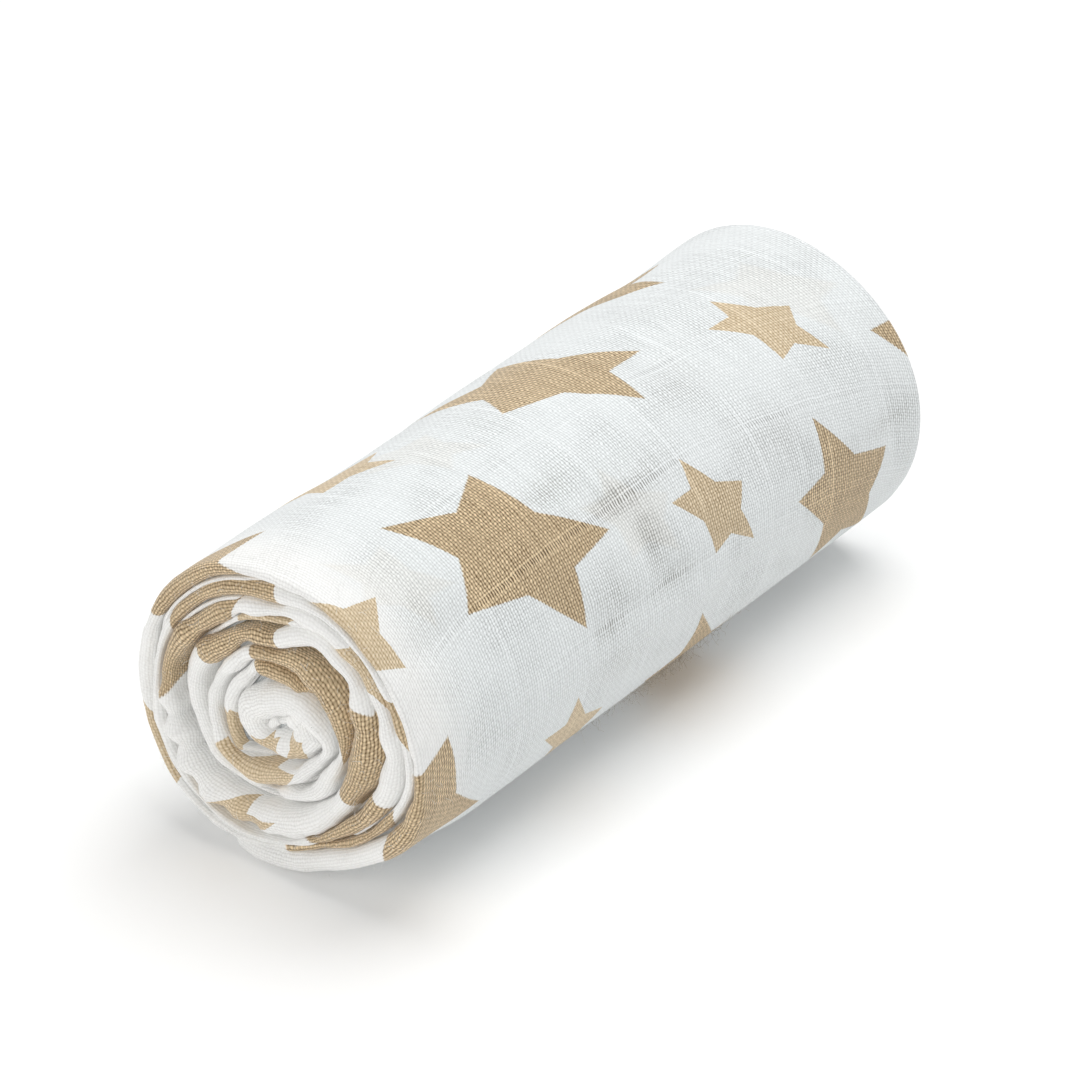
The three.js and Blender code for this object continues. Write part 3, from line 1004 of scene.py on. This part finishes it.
def muslin_material():
    tree = Tree("printed muslin")
    place = tree.node("ShaderNodeUVMap", {"uv_map": "cloth"})
    split = tree.node("ShaderNodeSeparateXYZ", {}, [place])
    u = split * (1 / MM)
    v = split.beside(1) * (1 / MM)
    open_ = tree.attribute("open", 2)
    fuzzy = tree.attribute("fuzzy", 2)
    plain = 1 - fuzzy
    patchy = tree.noise(place, 38.0, 2.0)
    fibres = tree.noise(place, 2600.0, 3.0)

    # Loose plain weave: threads along u and v, each over and under the other
    drift = tree.noise(place, 90.0, 1.0)
    tremble = tree.noise(place, 600.0, 1.0)
    wander = (drift - 0.5) * 1.2 + (tremble - 0.5) * 0.7
    sin_p = ((u + wander) * (math.pi / PITCH_ROUND)).math("SINE")
    sin_q = ((v + wander * 0.8) * (math.pi / PITCH_ALONG)).math("SINE")
    slub_u = tree.noise(tree.node("ShaderNodeCombineXYZ", {}, [u * 0.95, v * 0.06]), 1.0, 1.0)
    slub_v = tree.noise(tree.node("ShaderNodeCombineXYZ", {}, [u * 0.06, v * 0.95]), 1.0, 1.0)
    across_p = sin_p.math("ABSOLUTE") + (slub_u - 0.5) * 0.5
    across_q = sin_q.math("ABSOLUTE") + (slub_v - 0.5) * 0.5
    woven = across_q * 0.56 + across_p * 0.30 + sin_p * sin_q * 0.15

    # Open ladders along the roll with a thicker thread on either side of each, and thick threads
    # round it, all uneven. Where the threads have drawn apart, their gaps are wide.
    beside_ladder = off_line(u + wander * 0.5, LADDER_SPACING, LADDER_START)
    open_line = 1 - beside_ladder.ramp(*LADDER_EDGE)
    open_line = open_line * (open_ * 1.1 + 0.08).ramp_linear(0.0, 1.0) * plain
    rail = 1 - (beside_ladder - RAIL_PLACE).math("ABSOLUTE").ramp(*RAIL_EDGE)
    rail = rail * (open_ * 0.5 + 0.4) * plain
    thick_line = 1 - off_line(v, THICK_SPACING, THICK_START).ramp(*THICK_EDGE)
    thick_line = thick_line * patchy.ramp(0.35, 0.6) * plain
    drawn = open_.ramp(0.35, 0.8) * plain
    height = woven + drawn * (across_q * 0.9 + across_p * 0.45 - 0.42 - woven)
    height = height + open_line * (across_q * 1.7 - 0.62 - height) + rail * 0.25

    # How deep the gap between threads is, from 0 to 1, which the colours below paint as shade
    stretched = patchy.ramp(0.38, 0.68)
    gap = (0.5 - height) * (stretched * 0.35 + 0.85) + 0.5 - thick_line * 0.15 + (fibres - 0.5) * 0.2
    gap = gap.ramp_linear(0.0, 1.0)
    # Share of painted shade in the gaps: more where the threads have drawn apart, less on fuzzy cloth; in
    # the print it is partly the ink on the threads' sides
    white_shade_share = gap.ramp_linear(0.12, 1.0) * (1 - fuzzy * 0.45)
    white_shade_share = white_shade_share * (open_ * 0.28 + 0.75 + stretched * 0.3)
    tan_ink_and_shade_share = gap * (1.16 - fuzzy * 0.16) + fuzzy * 0.05

    # The print, whose edge follows the threads, and the faint one of the layer underneath
    edge, shade = star_print(tree, "print")
    inked = 1 - (edge + (height - 0.5) * 0.03).ramp(0.97, 1.01)
    under_edge, _ = star_print(tree, "under")
    under_inked = (1 - under_edge.ramp(0.85, 1.1)) * 0.10

    shown = thread_colors
    tan = tree.mix_color(shade, shown["beige"], shown["tan"])
    tan_deep_ink_and_shade = tree.mix_color(shade, shown["beige deep"], shown["tan deep"])
    # Fuzzy cloth gets a slightly lighter, warmer white as painted light
    white = tree.mix_color(fuzzy, shown["white"], shown["fuzzy white"])
    white = tree.mix_color(under_inked, white, tan)
    white_shaded_gap = tree.mix_color(fuzzy, shown["white shaded gap"], shown["fuzzy white shaded gap"])
    # Where the threads have drawn apart, the gaps are painted with the darker shade inside the roll
    white_shaded_gap = tree.mix_color(open_, white_shaded_gap, shown["open white shaded gap"])
    white_shaded_gap = tree.mix_color(under_inked, white_shaded_gap, tan_deep_ink_and_shade)
    unprinted = tree.mix_color(white_shade_share, white, white_shaded_gap)
    color = tree.mix_color(inked, unprinted, tree.mix_color(tan_ink_and_shade_share, tan, tan_deep_ink_and_shade))

    raised = height * (1 - fuzzy * 0.35) + fibres * 0.5 - open_line * 0.15 + thick_line * 0.15
    bump = tree.node("ShaderNodeBump", {}, {"Strength": 0.7, "Distance": 0.3 * MM, "Height": raised})
    # The faint emission, tinted like the cloth, is painted light: it lifts the shade in the folds, as light
    # through the thin cloth would.
    return tree.surface({
        "Base Color": color, "Roughness": 0.95, "Normal": bump, "Specular IOR Level": 0.2,
        "Emission Color": color, "Emission Strength": 0.07,
        "Sheen Weight": 0.3, "Sheen Roughness": 0.5,
    })


class FibreTree(Tree):
    """Geometry Nodes with named inputs, built with the same helpers."""

    def __init__(self, name):
        self.group = bpy.data.node_groups.new(name, "GeometryNodeTree")
        self.nodes = self.group.nodes
        self.links = self.group.links
        self.sockets = {}

    def takes(self, name, kind):
        made = self.group.interface.new_socket(
            name=name, in_out="INPUT", socket_type="NodeSocket" + kind)
        self.sockets[name] = made.identifier


def fibre_tree(material):
    """Fine bent fibres scattered over a mesh, as dense as its hair attribute says."""
    tree = FibreTree("loose fibres")
    tree.takes("Geometry", "Geometry")
    tree.takes("Fibres per square metre", "Float")
    tree.takes("Length", "Float")
    tree.takes("Thickness", "Float")
    tree.takes("Seed", "Int")
    tree.group.interface.new_socket(
        name="Geometry", in_out="OUTPUT", socket_type="NodeSocketGeometry")
    ground = tree.node("NodeGroupInput")
    per_area, length, thickness, seed = (ground.beside(i) for i in (1, 2, 3, 4))
    hair = tree.node("GeometryNodeInputNamedAttribute", {"data_type": "FLOAT"}, {"Name": "hair"})
    points = tree.node("GeometryNodeDistributePointsOnFaces", {"distribute_method": "RANDOM"},
                       {"Mesh": ground, "Density": hair * per_area, "Seed": seed})
    line = tree.node("GeometryNodeCurveQuadraticBezier", {}, {
        "Resolution": 5, "Start": (0, 0, -0.05), "Middle": (0.1, 0, 0.6), "End": (0.6, 0.1, 0.8)})
    section = tree.node("GeometryNodeCurvePrimitiveCircle", {}, {
        "Resolution": 3, "Radius": thickness / length / 2})
    fibre = tree.node("GeometryNodeCurveToMesh", {}, {
        "Curve": line, "Profile Curve": section, "Fill Caps": True})
    share = tree.node("FunctionNodeRandomValue", {"data_type": "FLOAT"}, {2: 0.35, 3: 1.0}, 1)
    placed = tree.node("GeometryNodeInstanceOnPoints", {}, {
        "Points": points, "Instance": fibre, "Rotation": points.beside(2), "Scale": share * length})
    turn = tree.node("FunctionNodeRandomValue", {"data_type": "FLOAT_VECTOR"}, {
        0: (-1.1, -1.1, -math.pi), 1: (1.1, 1.1, math.pi)})
    turned = tree.node("GeometryNodeRotateInstances", {}, {
        "Instances": placed, "Rotation": turn, "Local Space": True})
    real = tree.node("GeometryNodeRealizeInstances", {}, {"Geometry": turned})
    curl = tree.node("ShaderNodeTexNoise", {}, {"Scale": 420.0, "Detail": 1.0}, 1)
    centred = tree.node("ShaderNodeVectorMath", {"operation": "SUBTRACT"}, [curl, (0.5, 0.5, 0.5)])
    offset = tree.node("ShaderNodeVectorMath", {"operation": "SCALE"}, {0: centred, "Scale": length * 0.8})
    curled = tree.node("GeometryNodeSetPosition", {}, {"Geometry": real, "Offset": offset})
    done = tree.node("GeometryNodeSetMaterial", {}, {"Geometry": curled, "Material": material})
    tree.node("NodeGroupOutput", {}, [done])
    return tree


FIBRE_THICKNESS = 0.07


def fibres(name, seed, per_area, length, hair, color):
    """Loose fibres on the towel, as a mesh of their own."""
    layer = towel_mesh.attributes.get("hair") or towel_mesh.attributes.new("hair", "FLOAT", "POINT")
    layer.data.foreach_set("value", hair.reshape(-1)[place_used].astype(float))
    grower = bpy.data.objects.new(name + "_ground", towel_mesh)
    bpy.context.scene.collection.objects.link(grower)
    cotton = Tree(name + " cotton").surface({
        "Base Color": color, "Roughness": 0.8, "Specular IOR Level": 0.2,
    })
    tree = fibre_tree(cotton)
    nodes = grower.modifiers.new("fibres", "NODES")
    nodes.node_group = tree.group
    sizes = {
        "Fibres per square metre": per_area, "Length": length * MM,
        "Thickness": FIBRE_THICKNESS * MM, "Seed": seed,
    }
    for key, value in sizes.items():
        nodes[tree.sockets[key]] = value
    seen = grower.evaluated_get(bpy.context.evaluated_depsgraph_get())
    mesh = bpy.data.meshes.new_from_object(seen)
    mesh.name = name
    bpy.data.objects.remove(grower)
    return mesh


# Loose fibres stand out of the rims of the folds and out of one place of the lower side,
# but not down at the floor
RIM_HAIR = 7.0
LOW_HAIR = {"angle": -45, "half_angle": 6, "y": 9, "half_length": 15}
above_floor = points[:, :, 2] > 5
end_hair = np.clip(bell(sheet_v - NEAR_FOLD, RIM_HAIR) * 1.2 - 0.1, 0, 1) * above_floor
side_hair = (
    bell(angle_at(W)[:, None] - LOW_HAIR["angle"], LOW_HAIR["half_angle"])
    * bell(section_y - LOW_HAIR["y"], LOW_HAIR["half_length"]) * outer_turn * above_floor)
fuzz_meshes = (
    fibres("fibres", seed=5, per_area=100000.0, length=3.0, hair=end_hair,
           color=(0.86, 0.86, 0.84, 1)),
    fibres("low_fibres", seed=8, per_area=600000.0, length=4.6, hair=side_hair,
           color=(0.56, 0.52, 0.46, 1)),
)

towel_mesh.materials.append(muslin_material())
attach(towel, "root")
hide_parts("roll", "loose_end")
for mesh in fuzz_meshes:
    piece = bpy.data.objects.new(mesh.name, mesh)
    bpy.context.scene.collection.objects.link(piece)
    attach(piece, "root")

# Floor, light and camera, in metres
FLOOR_HALF = 6.0
floor_corners = [(x * FLOOR_HALF, y * FLOOR_HALF, 0) for x, y in ((-1, -1), (1, -1), (1, 1), (-1, 1))]
floor_mesh = bpy.data.meshes.new("floor")
floor_mesh.from_pydata(floor_corners, [], [(0, 1, 2, 3)])
floor_mesh.materials.append(Tree("pale floor").surface({
    "Base Color": (0.97, 0.97, 0.965, 1), "Roughness": 0.9, "Specular IOR Level": 0.1,
    "Emission Color": (1, 1, 1, 1), "Emission Strength": 0.05,
}))
floor = bpy.data.objects.new("floor", floor_mesh)
bpy.context.scene.collection.objects.link(floor)

world = bpy.data.worlds.new("studio")
world.use_nodes = True
background = world.node_tree.nodes["Background"]
background.inputs["Color"].default_value = (0.975, 0.99, 1.0, 1)
background.inputs["Strength"].default_value = 0.36
bpy.context.scene.world = world


def softbox(name, place, target, size, power, color=(1, 1, 1)):
    light = bpy.data.lights.new(name, "AREA")
    light.shape = "SQUARE"
    light.size = size
    light.energy = power
    light.color = color
    lamp = bpy.data.objects.new(name, light)
    lamp.location = place
    lamp.rotation_euler = (Vector(target) - Vector(place)).to_track_quat("-Z", "Y").to_euler()
    bpy.context.scene.collection.objects.link(lamp)


softbox("overhead", (0.1, 0.4, 1.8), (0, 0, 0), size=1.6, power=27.5)
softbox("front", (-0.6, -2.2, 1.0), (0, 0, 0.04), size=1.8, power=17.5, color=(1.0, 0.97, 0.94))

# The camera was fitted to the photograph: angles in degrees, and distances from the axis in mm
CAMERA_AZIMUTH = 37.586
CAMERA_ELEVATION = 32.416
CAMERA_LENS = 167.78
CAMERA_DISTANCE = 28.676 * ROLL_RADIUS
CAMERA_RIGHT = -0.01604 * ROLL_RADIUS
CAMERA_UP = 0.00138 * ROLL_RADIUS
azimuth = math.radians(CAMERA_AZIMUTH)
elevation = math.radians(CAMERA_ELEVATION)
rightwards = Vector((math.cos(azimuth), math.sin(azimuth), 0))
level = Vector((math.sin(azimuth), -math.cos(azimuth), 0))
backwards = level * math.cos(elevation) + Vector((0, 0, math.sin(elevation)))
upwards = backwards.cross(rightwards)
camera_data = bpy.data.cameras.new("camera")
camera_data.lens = CAMERA_LENS
camera = bpy.data.objects.new("camera", camera_data)
offset = backwards * CAMERA_DISTANCE + rightwards * CAMERA_RIGHT + upwards * CAMERA_UP
camera.location = (Vector((0, 0, AXIS_HEIGHT)) + offset) * MM
camera.rotation_mode = "QUATERNION"
camera.rotation_quaternion = (-backwards).to_track_quat("-Z", "Y")
bpy.context.scene.collection.objects.link(camera)
bpy.context.scene.camera = camera
bpy.context.scene.view_settings.view_transform = "Standard"
